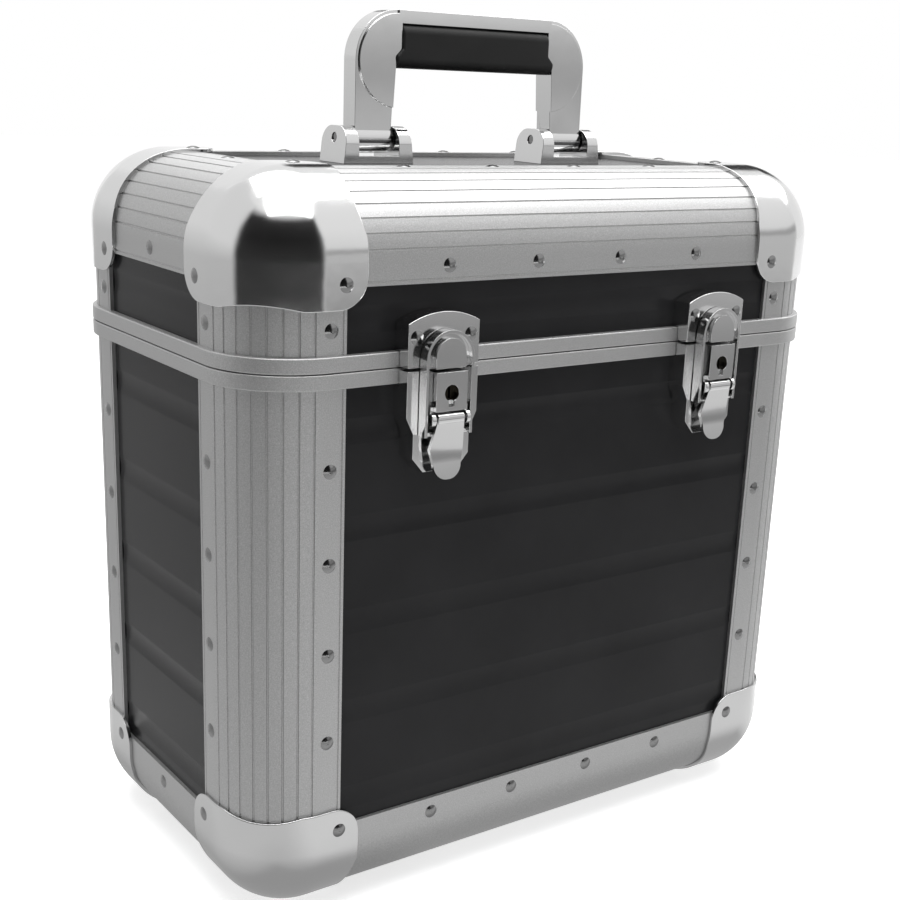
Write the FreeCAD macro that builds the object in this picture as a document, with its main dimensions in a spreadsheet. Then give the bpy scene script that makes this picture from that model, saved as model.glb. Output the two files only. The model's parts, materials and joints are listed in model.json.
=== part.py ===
import FreeCAD, Part
import math
import os
import re

import Sketcher

# A hard record carrying case: boards held by rounded aluminium edge profiles, ball corners,
# a hinged lid with a fold-down handle on top, and two lever latches with key locks in front.
# Millimetres. The origin is the middle of the footprint at the underside of the ball corners,
# +Z is up, +X runs along the front from left to right, and the front faces -Y.

SIZES = {
    # The whole case, over the edge profiles
    "case_width": 370.0,
    "case_depth": 205.0,
    "case_height": 370.0,
    "lid_height": 88.0,
    # Rounded edge profiles
    "profile_leg": 50.0,
    "profile_radius": 39.0,
    "profile_wall": 2.0,
    "profile_fit": 0.3,
    "groove_count": 8,
    "groove_angle": 10.7,
    "groove_radius": 0.55,
    "edge_line_inset": 1.9,
    "edge_line_radius": 0.4,
    # Boards with pressed beads, and the foam lining
    "board_wall": 8.0,
    "board_fit": 0.5,
    "bead_count": 5,
    "bead_first_rise": 63.5,
    "bead_last_drop": 29.0,
    "lid_bead_rise": 23.0,
    "bead_radius": 40.0,
    "bead_depth": 0.5,
    "lining_wall": 4.0,
    "lining_fit": 0.3,
    # Rims that meet at the seam
    "rim_height": 7.4,
    "rim_proud": 2.5,
    "rim_wall": 1.5,
    "rim_floor": 6.0,
    "seam_gap": 0.4,
    "tongue_inset": 4.0,
    "tongue_wall": 1.6,
    "tongue_height": 3.8,
    "tongue_gap": 1.2,
    # Ball corners
    "corner_wall": 1.8,
    "corner_reach": 60.0,
    "corner_leaf_radius": 15.0,
    "corner_dip_radius": 80.0,
    "corner_dip_depth": 2.5,
    "corner_rivet_inset": 48.5,
    # Rivets
    "rivet_head_radius": 3.6,
    "rivet_head_height": 1.0,
    "rivet_shank_radius": 1.6,
    "rivet_fit": 0.1,
    "rivet_line": 42.0,
    "rivet_count_long": 4,
    "rivet_end_inset": 105.5,
    "rivet_count_upright": 4,
    "rivet_first_rise": 97.5,
    "rivet_last_drop": 46.5,
    "rivet_lid_rise": 19.0,
    # Handle on the lid
    "bracket_spacing": 127.0,
    "bracket_length": 42.0,
    "bracket_depth": 25.0,
    "bracket_height": 18.5,
    "bracket_lean": 2.0,
    "bracket_round": 9.0,
    "bracket_slot": 24.0,
    "bracket_floor": 4.0,
    "handle_pin_height": 12.5,
    "handle_pin_radius": 2.5,
    "handle_fit": 0.05,
    "handle_height": 76.0,
    "handle_reach": 149.0,
    "handle_arm": 21.5,
    "handle_depth": 14.0,
    "handle_elbow": 25.0,
    "handle_band": 6.5,
    "handle_disc_radius": 23.2,
    "handle_disc_rise": 1.2,
    "grip_length": 95.0,
    "grip_low_length": 102.0,
    "grip_low_height": 6.0,
    "grip_height": 22.0,
    "grip_depth": 17.0,
    "grip_round": 5.0,
    "handle_screw_radius": 2.0,
    "handle_screw_head": 4.0,
    "handle_screw_head_height": 2.0,
    "handle_screw_pitch": 28.0,
    # Latches
    "latch_inset": 96.8,
    "latch_width": 40.0,
    "latch_proud": 10.0,
    "latch_sheet": 1.5,
    "latch_seam_gap": 1.6,
    "lid_plate_height": 25.5,
    "lid_plate_arch": 42.5,
    "lid_plate_rivet_x": 15.2,
    "lid_plate_rivet_drop": 11.5,
    "catch_width": 12.0,
    "catch_height": 7.0,
    "catch_rise": 1.8,
    "base_plate_height": 49.0,
    "base_plate_shoulder": 22.0,
    "base_plate_waist": 30.0,
    "base_plate_waist_width": 32.0,
    "base_plate_chin": 42.0,
    "base_plate_chin_width": 20.0,
    "base_plate_rivet_x": 4.5,
    "base_plate_rivet_drop": 36.5,
    "hood_width": 27.0,
    "hood_sheet": 1.5,
    "hood_top": 18.5,
    "hood_drop": 31.5,
    "hood_front": 16.0,
    "hood_gap": 0.5,
    "hood_nose_width": 17.0,
    "hood_nose_top": 14.0,
    "hood_nose_proud": 0.5,
    "lock_block_width": 17.5,
    "lock_block_height": 18.5,
    "lock_block_front": 17.7,
    "cheek_wall": 2.0,
    "cheek_radius": 3.3,
    "lock_plug_radius": 3.9,
    "lock_plug_fit": 0.06,
    "lock_plug_depth": 2.6,
    "lock_plug_length": 4.5,
    "lock_centre_drop": 10.0,
    "keyhole_slot_width": 3.0,
    "keyhole_slot_drop": 6.6,
    "key_slit": 1.2,
    "key_slit_share": 0.8,
    "key_slit_depth": 1.5,
    "lever_pin_drop": 23.2,
    "lever_pin_out": 15.5,
    "lever_pin_radius": 1.25,
    "lever_pin_fit": 0.05,
    "lever_knuckle": 3.0,
    "lever_head": 2.0,
    "lever_width": 14.4,
    "lever_wide": 19.0,
    "lever_sheet": 2.0,
    "lever_ridge_drop": 38.5,
    "lever_ridge_out": 14.7,
    "tongue_tip_drop": 52.8,
    "tongue_tip_out": 16.8,
    "tongue_tip_width": 15.6,
    "hood_pivot_drop": 30.5,
    "hood_pivot_out": 13.4,
    "hood_pivot_radius": 1.3,
    # Hinges at the back
    "hinge_inset": 90.0,
    "hinge_width": 60.0,
    "hinge_leaf": 36.0,
    "hinge_sheet": 2.0,
    "hinge_knuckle": 3.5,
    "hinge_knuckle_length": 19.8,
    "hinge_clear": 0.4,
    "hinge_side_gap": 0.3,
    "hinge_pin_radius": 1.5,
    "hinge_pin_fit": 0.05,
    "hinge_rivet_pitch": 42.0,
    "hinge_rivet_drop": 27.0,
    # How far a cutting solid runs past what it cuts
    "overrun": 1.0,
}

# Places worked out from the sizes. Insets are measured inward from the face of the profiles.
DERIVED = {
    "half_width": "case_width / 2",
    "half_depth": "case_depth / 2",
    "base_z": "corner_wall",
    "top_z": "base_z + case_height",
    "seam_z": "top_z - lid_height",
    "lid_seam_z": "seam_z + seam_gap / 2",
    "base_seam_z": "seam_z - seam_gap / 2",
    "latch_spacing": "case_width - 2 * latch_inset",
    "hinge_spacing": "case_width - 2 * hinge_inset",
    "rivet_pitch_long": "(case_width - 2 * rivet_end_inset) / (rivet_count_long - 1)",
    "rivet_span_upright": "seam_z - base_z - rivet_first_rise - rivet_last_drop",
    "rivet_pitch_upright": "rivet_span_upright / (rivet_count_upright - 1)",
    "bead_pitch": "(seam_z - base_z - bead_first_rise - bead_last_drop) / (bead_count - 1)",
    "board_inner": "profile_wall + board_wall",
    "lining_inner": "board_inner + lining_wall",
    "rim_inner": "board_inner + rim_wall",
    "board_trim": "profile_radius + board_fit",
    "leg_reach": "profile_leg - profile_radius",
    "panel_top_z": "top_z - profile_wall",
    "panel_front_y": "-(half_depth - profile_wall)",
    "hinge_strap_y": "half_depth + rim_proud",
    "hinge_axis_y": "hinge_strap_y + hinge_clear + hinge_knuckle",
    "handle_pin_z": "panel_top_z + handle_pin_height",
    "handle_top_z": "panel_top_z + handle_height",
    "grip_top_z": "handle_top_z - handle_band",
    "grip_low_z": "grip_top_z - grip_height",
    "grip_step_z": "grip_low_z + grip_low_height",
    "latch_lid_z": "seam_z + latch_seam_gap / 2",
    "latch_base_z": "seam_z - latch_seam_gap / 2",
    "lever_pin_z": "seam_z - lever_pin_drop",
    "lever_pin_y": "-(half_depth + lever_pin_out)",
    "hood_pivot_z": "seam_z - hood_pivot_drop",
    "hood_pivot_y": "-(half_depth + hood_pivot_out)",
    "lock_z": "latch_base_z - lock_centre_drop",
    "plate_front_y": "-(half_depth + latch_proud)",
    "block_front_y": "-(half_depth + lock_block_front)",
    "block_low_z": "latch_base_z - lock_block_height",
    # The front reaches farther out than the back; the shift brings the middle of the footprint to zero
    "frame_shift": "(lever_pin_out + cheek_radius - rim_proud - hinge_clear - 2 * hinge_knuckle) / 2",
}

doc = FreeCAD.newDocument("RecordCase")
sheet = doc.addObject("Spreadsheet::Sheet", "Sizes")
probe = doc.addObject("App::FeaturePython", "Probe")
probe.addProperty("App::PropertyFloat", "Result")


def fill_sheet():
    """One row for each size: its word in column A, its number or formula in column B."""
    row = 0
    for word, number in SIZES.items():
        row += 1
        sheet.set(f"A{row}", word)
        sheet.set(f"B{row}", str(number))
        sheet.setAlias(f"B{row}", word)
    for word, rule in DERIVED.items():
        row += 1
        sheet.set(f"A{row}", word)
        sheet.set(f"B{row}", "=" + rule)
        sheet.setAlias(f"B{row}", word)
    doc.recompute()


def linked(rule):
    """A formula in plain size words, pointed at the sheet."""
    def point(match):
        word = match.group()
        return "Sizes." + word if word in SIZES or word in DERIVED else word
    return re.sub(r"[a-z_]+", point, rule)


def bind(thing, rules):
    for prop, rule in rules.items():
        thing.setExpression(prop, linked(rule))
    return thing


def value(rule):
    """The number that a formula has now, read through one spare cell object."""
    probe.setExpression("Result", linked(rule))
    probe.recompute()
    return probe.Result


def place(thing, x="0", y="0", z="0"):
    return bind(thing, {"Placement.Base.x": x, "Placement.Base.y": y, "Placement.Base.z": z})


def turn(thing, axis, angle):
    thing.Placement = FreeCAD.Placement(FreeCAD.Vector(), FreeCAD.Rotation(FreeCAD.Vector(*axis), angle))
    return thing


def box(name, x, y, z):
    """A block from its lowest to its highest corner, each given as a pair of formulas."""
    block = doc.addObject("Part::Box", name)
    for side, (low, high) in (("Length", x), ("Width", y), ("Height", z)):
        bind(block, {side: f"({high}) - ({low})"})
    return place(block, x[0], y[0], z[0])


AXIS_TURNS = {"X": ((0, 1, 0), 90), "Y": ((1, 0, 0), -90), "Z": ((0, 0, 1), 0)}


def rod(name, axis, radius, length, x="0", y="0", z="0"):
    """A cylinder that starts at a point and runs along +X, +Y or +Z."""
    bar = doc.addObject("Part::Cylinder", name)
    turn(bar, *AXIS_TURNS[axis])
    return place(bind(bar, {"Radius": radius, "Height": length}), x, y, z)


def joined(kind, name, pieces):
    whole = doc.addObject(kind, name)
    whole.Shapes = pieces
    return whole


def fuse(name, *pieces):
    return joined("Part::MultiFuse", name, list(pieces))


def common(name, *pieces):
    return joined("Part::MultiCommon", name, list(pieces))


def cut(name, base, *tools):
    """The base without the tools; several tools are joined first."""
    result = doc.addObject("Part::Cut", name)
    result.Base = base
    result.Tool = tools[0] if len(tools) == 1 else fuse(name + "_tools", *tools)
    return result


def new_sketch(body, name, plane):
    sketch = body.newObject("Sketcher::SketchObject", name)
    support = [item for item in body.Origin.OriginFeatures if item.Role == plane][0]
    sketch.AttachmentSupport = [(support, "")]
    sketch.MapMode = "FlatFace"
    return sketch


def outline(sketch, corners):
    """Straight lines through the corners, with each corner's two coordinates bound to the sheet."""
    spots = [FreeCAD.Vector(value(x), value(y), 0) for x, y in corners]
    count = len(spots)
    for index in range(count):
        sketch.addGeometry(Part.LineSegment(spots[index], spots[(index + 1) % count]), False)
    for index in range(count):
        sketch.addConstraint(Sketcher.Constraint("Coincident", index, 2, (index + 1) % count, 1))
    for index, (x, y) in enumerate(corners):
        for kind, rule, spot in (("DistanceX", x, spots[index].x), ("DistanceY", y, spots[index].y)):
            number = sketch.addConstraint(Sketcher.Constraint(kind, -1, 1, index, 1, spot))
            sketch.setExpression(f"Constraints[{number}]", linked(rule))


def prism(name, plane, corners, depth):
    """An outline on one of the origin planes, padded: XY runs up, XZ to the front, YZ to +X."""
    body = doc.addObject("PartDesign::Body", name)
    sketch = new_sketch(body, name + "_outline", plane)
    outline(sketch, corners)
    pad = body.newObject("PartDesign::Pad", name + "_pad")
    pad.Profile = sketch
    bind(pad, {"Length": depth})
    return body


def edges_along(shape, picks):
    """Names of the straight edges whose direction and middle the test accepts."""
    names = []
    for number, edge in enumerate(shape.Edges, start=1):
        if picks(edge.tangentAt(edge.FirstParameter), edge.BoundBox.Center):
            names.append(f"Edge{number}")
    return names


def round_off(body, radius, picks):
    """Rounds the edges of a padded body that the test picks out."""
    body.recompute(True)
    base = body.Tip
    fillet = body.newObject("PartDesign::Fillet", body.Name + "_round")
    fillet.Base = (base, edges_along(base.Shape, picks))
    bind(fillet, {"Radius": radius})
    return body


def is_upright(direction, middle):
    return abs(direction.z) > abs(direction.x) + abs(direction.y)


def is_crossing(direction):
    """True along Y, from the front to the back."""
    return abs(direction.y) > abs(direction.x) + abs(direction.z)


def rounded_block(name, inset, low_z, high_z, round_end=None):
    """The plan of the case at an inset, with its four upright edges rounded about the same
    centres as the profiles. The end named top or bottom is rounded as well."""
    x, y = f"half_width - {inset}", f"half_depth - {inset}"
    corners = [(f"-({x})", f"-({y})"), (x, f"-({y})"), (x, y), (f"-({x})", y)]
    body = prism(name, "XY_Plane", corners, f"({high_z}) - ({low_z})")
    level = {"top": value(f"({high_z}) - ({low_z})"), "bottom": 0.0, None: None}[round_end]

    def picks(direction, middle):
        if is_upright(direction, middle):
            return True
        return level is not None and abs(middle.z - level) < value("overrun")

    round_off(body, f"profile_radius - ({inset})", picks)
    return place(body, z=low_z)


def ring(name, outer, inner, low_z, high_z):
    """A closed band between two insets."""
    outside = rounded_block(name + "_outside", outer, low_z, high_z)
    inside = rounded_block(name + "_inside", inner, f"{low_z} - overrun", f"{high_z} + overrun")
    return cut(name, outside, inside)


PARTS = {}


def keep(node, thing):
    """Takes an object as a finished sub-part."""
    thing.Label = node
    PARTS[node] = thing
    return thing


# Rivets, each with the point under its head, the way the head points, what it holds together,
# and the depth of its counterbore
RIVETS = {"base": [], "lid": []}


def seat(group, x, y, z, way, grip="profile_wall + board_wall", sink="0"):
    """Adds a rivet to a half of the case."""
    spot = FreeCAD.Vector(value(x), value(y), value(z))
    RIVETS[group].append((spot, FreeCAD.Vector(*way), value(grip), value(sink)))


def row_step(index, count, pitch):
    """The place of one item in a row that is centred on zero."""
    return f"({index} - ({count} - 1) / 2) * {pitch}"


def edge_seats(group, level_z, up):
    """Rivets along the level profiles at the top or the bottom, on both legs."""
    line = f"{level_z} - ({up} * rivet_line)"
    for side in (-1, 1):
        for index in range(int(SIZES["rivet_count_long"])):
            x = row_step(index, "rivet_count_long", "rivet_pitch_long")
            seat(group, x, f"{side} * half_depth", line, (0, side, 0))
            seat(group, x, f"{side} * (half_depth - rivet_line)", level_z, (0, 0, up))
        seat(group, f"{side} * half_width", "0", line, (side, 0, 0))
        seat(group, f"{side} * (half_width - rivet_line)", "0", level_z, (0, 0, up))


def upright_seats(group, z):
    """Rivets at one height on both legs of the four upright profiles."""
    for side in (-1, 1):
        for end in (-1, 1):
            seat(group, f"{side} * (half_width - rivet_line)", f"{end} * half_depth", z, (0, end, 0))
            seat(group, f"{side} * half_width", f"{end} * (half_depth - rivet_line)", z, (side, 0, 0))


def corner_seats(group, level_z, up):
    """Three rivets in each ball corner, one on each leaf. Those underneath lie in a counterbore,
    so that the case rests on the flat leaves."""
    grip = "corner_wall + profile_wall + board_wall"
    line = f"{level_z} - ({up} * corner_rivet_inset)"
    for side in (-1, 1):
        for end in (-1, 1):
            x = f"{side} * (half_width - corner_rivet_inset)"
            y = f"{end} * (half_depth - corner_rivet_inset)"
            seat(group, x, f"{end} * (half_depth + corner_wall)", line, (0, end, 0), grip)
            seat(group, f"{side} * (half_width + corner_wall)", y, line, (side, 0, 0), grip)
            if up > 0:
                seat(group, x, y, f"{level_z} + corner_wall", (0, 0, up), grip)
            else:
                seat(group, x, y, level_z, (0, 0, up), sink="corner_wall + overrun")


def hardware_seats():
    """Rivets of the latch plates and the hinge leaves."""
    thick = "latch_proud + profile_wall + board_wall"
    back = "half_depth - profile_wall + hinge_sheet"
    held = "hinge_sheet + board_wall"
    high = "latch_lid_z + lid_plate_height - lid_plate_rivet_drop"
    low = "latch_base_z - base_plate_rivet_drop"
    for side in (-1, 1):
        middle = f"{side} * latch_spacing / 2"
        for hand in (-1, 1):
            seat("lid", f"{middle} + {hand} * lid_plate_rivet_x", "plate_front_y", high, (0, -1, 0), thick)
            seat("base", f"{middle} + {hand} * base_plate_rivet_x", "plate_front_y", low, (0, -1, 0), thick)
            x = f"{side} * hinge_spacing / 2 + {hand} * hinge_rivet_pitch / 2"
            seat("lid", x, back, "seam_z + hinge_rivet_drop", (0, 1, 0), held)
            seat("base", x, back, "seam_z - hinge_rivet_drop", (0, 1, 0), held)


def rivet_shape(spot, way, grip):
    """A domed head over its point and a shank down to the inner end of what it holds."""
    head, rise = value("rivet_head_radius"), value("rivet_head_height")
    shank, short = value("rivet_shank_radius"), value("rivet_fit")
    rim = FreeCAD.Vector(head, 0, 0)
    crown = FreeCAD.Vector(0, 0, rise)
    ball = (head ** 2 + rise ** 2) / (2 * rise)
    turn_half = math.asin(head / ball) / 2
    bulge = FreeCAD.Vector(ball * math.sin(turn_half), 0, rise - ball * (1 - math.cos(turn_half)))
    end = -(grip - short)
    points = [rim, FreeCAD.Vector(shank, 0, 0), FreeCAD.Vector(shank, 0, end)]
    points += [FreeCAD.Vector(0, 0, end), crown]
    lines = [Part.makeLine(points[i], points[i + 1]) for i in range(4)]
    arc = Part.Arc(rim, bulge, crown).toShape()
    half = Part.Face(Part.Wire(Part.__sortEdges__(lines + [arc])))
    solid = half.revolve(FreeCAD.Vector(), FreeCAD.Vector(0, 0, 1), 360)
    solid.Placement = FreeCAD.Placement(spot, FreeCAD.Rotation(FreeCAD.Vector(0, 0, 1), way))
    return solid


def rivets(group):
    """All rivets of one half of the case, as separate solids in one sub-part."""
    bunch = doc.addObject("Part::Feature", group + "_rivets")
    bunch.Shape = Part.makeCompound([rivet_shape(*item[:3]) for item in RIVETS[group]])
    return keep(group + "_rivets", bunch)


def meets(hole, shape):
    return hole.BoundBox.intersect(shape.BoundBox) and hole.common(shape).Volume > 0


def drilled(node, piece, group):
    """The piece with a hole for every rivet of its half of the case that passes through it: the
    counterbore where the head lies in the piece, and the clearance of the shank elsewhere."""
    piece.recompute(True)
    shank, head = value("rivet_shank_radius + rivet_fit"), value("rivet_head_radius + rivet_fit")
    reach = value("overrun")
    holes = []
    for spot, way, grip, sink in RIVETS[group]:
        options = [Part.makeCylinder(shank, grip + 2 * reach, spot + way * reach, way * -1)]
        if sink:
            options.insert(0, Part.makeCylinder(head, sink, spot, way))
        holes += [hole for hole in options if meets(hole, piece.Shape)][:1]
    if not holes:
        return keep(node, piece)
    tool = doc.addObject("Part::Feature", node + "_holes")
    tool.Shape = Part.makeCompound(holes)
    return keep(node, cut(node, piece, tool))


def profile(name, length, grooved, mitred):
    """An edge profile about its own arc centre, along +Z, with its corner towards -X and -Y."""
    quarter = doc.addObject("Part::Cylinder", name + "_quarter")
    bind(quarter, {"Radius": "profile_radius", "Height": length})
    quarter.Angle = 90
    turn(quarter, (0, 0, 1), 180)
    run = f"{length} + 2 * overrun"
    inside = rod(name + "_inside", "Z", "profile_radius - profile_wall", run, z="-overrun")
    arc = cut(name + "_arc", quarter, inside)
    across = ("-profile_radius", "profile_wall - profile_radius")
    along, upright = ("0", "leg_reach"), ("0", length)
    legs = [box(name + "_leg_side", across, along, upright), box(name + "_leg_front", along, across, upright)]
    whole = fuse(name + "_bare", arc, *legs)
    tools = []
    for end in mitred:
        tools += mitre(f"{name}_{end}", length, end)
    if grooved:
        for index in range(int(SIZES["groove_count"])):
            spread = "(225 + " + row_step(index, "groove_count", "groove_angle") + ")"
            spot = (f"profile_radius * cos({spread})", f"profile_radius * sin({spread})", "-overrun")
            tools.append(rod(f"{name}_groove{index}", "Z", "groove_radius", run, *spot))
        face, line = "-profile_radius", "leg_reach - edge_line_inset"
        tools.append(rod(name + "_line_side", "Z", "edge_line_radius", run, face, line, "-overrun"))
        tools.append(rod(name + "_line_front", "Z", "edge_line_radius", run, line, face, "-overrun"))
    return cut(name, whole, *tools)


def mitre(name, length, end):
    """Wedges that cut both legs back at 45 degrees, where they meet the next profile."""
    wide = "leg_reach + overrun"
    near, far, past = "profile_fit / 2", f"profile_fit / 2 + {wide}", "-overrun"
    if end == "high":
        near, far, past = f"{length} - ({near})", f"{length} - ({far})", f"{length} + overrun"
    wedge = [("0", near), (wide, far), (wide, past), ("0", past)]
    thick = "profile_wall + 2 * overrun"
    side = prism(name + "_mitre_side", "YZ_Plane", wedge, thick)
    front = prism(name + "_mitre_front", "XZ_Plane", wedge, thick)
    place(side, x="-profile_radius - overrun")
    place(front, y="profile_wall + overrun - profile_radius")
    return [side, front]


def stand(piece, rotation, x, y, z):
    """Turns a profile or a corner to its place in the case."""
    piece.Placement = FreeCAD.Placement(FreeCAD.Vector(), rotation)
    return place(piece, x, y, z)


def spin(axis, angle):
    return FreeCAD.Rotation(FreeCAD.Vector(*axis), angle)


# The four upright edges: side and end of the case, and the turn about Z that points the corner there
UPRIGHT_EDGES = {
    "front_left": (-1, -1, 0),
    "front_right": (1, -1, 90),
    "back_right": (1, 1, 180),
    "back_left": (-1, 1, 270),
}


def upright_profiles():
    """Grooved profiles at the four upright edges of the base and of the lid."""
    base_length = "base_seam_z - rim_height - base_z - profile_radius"
    lid_length = "top_z - profile_radius - lid_seam_z - rim_height"
    for edge, (side, end, angle) in UPRIGHT_EDGES.items():
        x = f"{side} * (half_width - profile_radius)"
        y = f"{end} * (half_depth - profile_radius)"
        turned = spin((0, 0, 1), angle)
        piece = profile(f"base_{edge}", base_length, True, ["low"])
        drilled(f"base_{edge}_profile", stand(piece, turned, x, y, "base_z + profile_radius"), "base")
        piece = profile(f"lid_{edge}", lid_length, True, ["high"])
        drilled(f"lid_{edge}_profile", stand(piece, turned, x, y, "lid_seam_z + rim_height"), "lid")


def level_profiles(group, level_z, up, grooved):
    """The four profiles round the floor or round the top."""
    half = group.split("_")[0]
    z = f"{level_z} - ({up} * profile_radius)"
    for edge, end in (("front", -1), ("back", 1)):
        piece = profile(f"{group}_{edge}", "case_width - 2 * profile_radius", grooved, ["low", "high"])
        y = f"{end} * (half_depth - profile_radius)"
        stand(piece, level_turn("x", end, up), "profile_radius - half_width", y, z)
        drilled(f"{group}_{edge}_profile", piece, half)
    for edge, side in (("left", -1), ("right", 1)):
        piece = profile(f"{group}_{edge}", "case_depth - 2 * profile_radius", grooved, ["low", "high"])
        x = f"{side} * (half_width - profile_radius)"
        stand(piece, level_turn("y", side, up), x, "profile_radius - half_depth", z)
        drilled(f"{group}_{edge}_profile", piece, half)


def level_turn(run, outward, up):
    """The turn that lays a profile along +X or +Y with its corner at the given edge."""
    along = FreeCAD.Vector(1, 0, 0) if run == "x" else FreeCAD.Vector(0, 1, 0)
    out = FreeCAD.Vector(0, outward, 0) if run == "x" else FreeCAD.Vector(outward, 0, 0)
    rise = FreeCAD.Vector(0, 0, up)
    first, second = out * -1, rise * -1
    if first.cross(second).dot(along) < 0:
        first, second = second, first
    return FreeCAD.Rotation(first, second, along, "ZXY")


def boards():
    """Five boards for the base and five for the lid, trimmed to sit behind the profile legs."""
    wide = ("board_trim - half_width", "half_width - board_trim")
    deep = ("board_trim - half_depth", "half_depth - board_trim")
    heights = {
        "base": ("base_z + board_trim", "base_seam_z - rim_wall"),
        "lid": ("lid_seam_z + rim_floor", "top_z - board_trim"),
    }
    for group, tall in heights.items():
        for edge, end in (("front", -1), ("back", 1)):
            faces = sorted_pair(end, "half_depth")
            piece = box(f"{group}_{edge}_panel", wide, faces, tall)
            drilled(f"{group}_{edge}_board", beaded(group, piece, edge, end), group)
        for edge, side in (("left", -1), ("right", 1)):
            faces = sorted_pair(side, "half_width")
            piece = box(f"{group}_{edge}_panel", faces, deep, tall)
            drilled(f"{group}_{edge}_board", beaded(group, piece, edge, side), group)
    floor = box("base_floor_panel", wide, deep, ("base_z + profile_wall", "base_z + board_inner"))
    drilled("base_floor_board", floor, "base")
    top = box("lid_top_panel", wide, deep, ("top_z - board_inner", "panel_top_z"))
    drilled("lid_top_board", screw_holes(top), "lid")


def sorted_pair(side, half):
    """The inner and outer face of a board, lowest first."""
    near, far = f"{half} - board_inner", f"{half} - profile_wall"
    return (near, far) if side > 0 else (f"-({far})", f"-({near})")


def bead_heights(group):
    if group == "lid":
        return ["seam_z + lid_bead_rise"]
    return [f"base_z + bead_first_rise + {index} * bead_pitch" for index in range(int(SIZES["bead_count"]))]


def beaded(group, piece, edge, side):
    """Shallow level beads pressed into the outer face of a board."""
    rise = "profile_wall + bead_radius - bead_depth"
    tools = []
    for index, z in enumerate(bead_heights(group)):
        name = f"{group}_bead_{edge}{index}"
        if edge in ("front", "back"):
            y = f"{side} * (half_depth - {rise})"
            tools.append(rod(name, "X", "bead_radius", "case_width", "-half_width", y, z))
        else:
            x = f"{side} * (half_width - {rise})"
            tools.append(rod(name, "Y", "bead_radius", "case_depth", x, "-half_depth", z))
    return cut(piece.Name + "_beaded", piece, *tools)


def rims():
    """The base rim is a channel over the board edges with a tongue; the lid rim has its groove."""
    low, high = "base_seam_z - rim_height", "base_seam_z"
    flange = ring("base_flange", "(-rim_proud)", "profile_wall", low, high)
    web = ring("base_web", "0", "board_inner", f"{high} - rim_wall", high)
    inner = ring("base_inner_flange", "board_inner", "rim_inner", low, high)
    root, tip = f"{high} - rim_wall", f"{high} + tongue_height"
    tongue = ring("base_tongue", "tongue_inset", "(tongue_inset + tongue_wall)", root, tip)
    keep("base_rim", fuse("base_rim", flange, web, inner, tongue))
    low, high = "lid_seam_z", "lid_seam_z + rim_height"
    flange = ring("lid_flange", "(-rim_proud)", "profile_wall", low, high)
    web = ring("lid_web", "0", "board_inner", low, f"{low} + rim_floor")
    inner = ring("lid_inner_flange", "board_inner", "rim_inner", low, high)
    near, far = "(tongue_inset - tongue_gap)", "(tongue_inset + tongue_wall + tongue_gap)"
    channel = ring("lid_groove", near, far, f"{low} - overrun", f"{low} + tongue_height + seam_gap")
    keep("lid_rim", cut("lid_rim", fuse("lid_rim_bar", flange, web, inner), channel))


def linings():
    """Foam tubs inside the base and the lid, rounded to clear the curve of the profiles."""
    low, high = "base_z + board_inner", "base_seam_z - rim_height - lining_fit"
    outside = rounded_block("base_tub", "board_inner", low, high, "bottom")
    inside = rounded_block("base_bay", "lining_inner", f"{low} + lining_wall", f"{high} + overrun", "bottom")
    keep("base_lining", cut("base_lining", outside, inside))
    low, high = "lid_seam_z + rim_height + lining_fit", "top_z - board_inner"
    outside = rounded_block("lid_tub", "board_inner", low, high, "top")
    inside = rounded_block("lid_bay", "lining_inner", f"{low} - overrun", f"{high} - lining_wall", "top")
    keep("lid_lining", cut("lid_lining", outside, inside))


def corner_block(name, skin):
    """The corner of the case in its own frame: the faces of the profiles are the planes at zero,
    and the block grows by the skin beyond them."""
    far, near = "corner_reach", f"(-({skin}))"
    corners = [(near, near), (far, near), (far, far), (near, far)]
    body = prism(name, "XY_Plane", corners, f"{far} + {skin}")
    edge = value(near)

    def picks(direction, middle):
        near_faces = [abs(middle.x - edge), abs(middle.y - edge), abs(middle.z)]
        return sum(1 for gap in near_faces if gap < value("overrun") / 2) == 2

    round_off(body, f"profile_radius + {skin}", picks)
    return place(body, z=near)


def far_edge(direction, middle):
    """The upright edge of a leaf that is farthest from the corner."""
    return is_upright(direction, middle) and middle.x > 0 and middle.y > 0


def corner_leaf(name, axis):
    """A square plate with one round corner, against the near face across one axis."""
    low, high = "-corner_wall - overrun", "corner_reach"
    square = [(low, low), (high, low), (high, high), (low, high)]
    plate = prism(name, "XY_Plane", square, "profile_radius + corner_wall + overrun")
    round_off(plate, "corner_leaf_radius", far_edge)
    turned = {"z": spin((0, 0, 1), 0), "x": spin((1, 1, 1), 120), "y": spin((1, 1, 1), 240)}
    plate.Placement = FreeCAD.Placement(FreeCAD.Vector(), turned[axis])
    return place(plate, **{axis: low})


def corner_dip(name, axis):
    """A rod across the edge that runs along one axis; it takes a dip out of the corner's rim."""
    dip = doc.addObject("Part::Cylinder", name)
    bind(dip, {"Radius": "corner_dip_radius", "Height": "2 * corner_reach"})
    across = FreeCAD.Vector(*(0 if word == axis else 1 for word in "xyz"))
    dip.Placement = FreeCAD.Placement(FreeCAD.Vector(), FreeCAD.Rotation(FreeCAD.Vector(0, 0, 1), across))
    spot = {word: "-corner_reach / 2" for word in "xyz"}
    spot[axis] = "corner_reach - corner_dip_depth + corner_dip_radius"
    return place(dip, **spot)


def ball_corner(name):
    """A pressed corner: a ball over the corner with three rounded leaves and a dip on each edge."""
    outer, inner = corner_block(name + "_outer", "corner_wall"), corner_block(name + "_inner", "0")
    leaves = fuse(name + "_leaves", *[corner_leaf(f"{name}_leaf_{axis}", axis) for axis in "xyz"])
    trimmed = common(name + "_trimmed", cut(name + "_shell", outer, inner), leaves)
    return cut(name, trimmed, *[corner_dip(f"{name}_dip_{axis}", axis) for axis in "xyz"])


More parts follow.
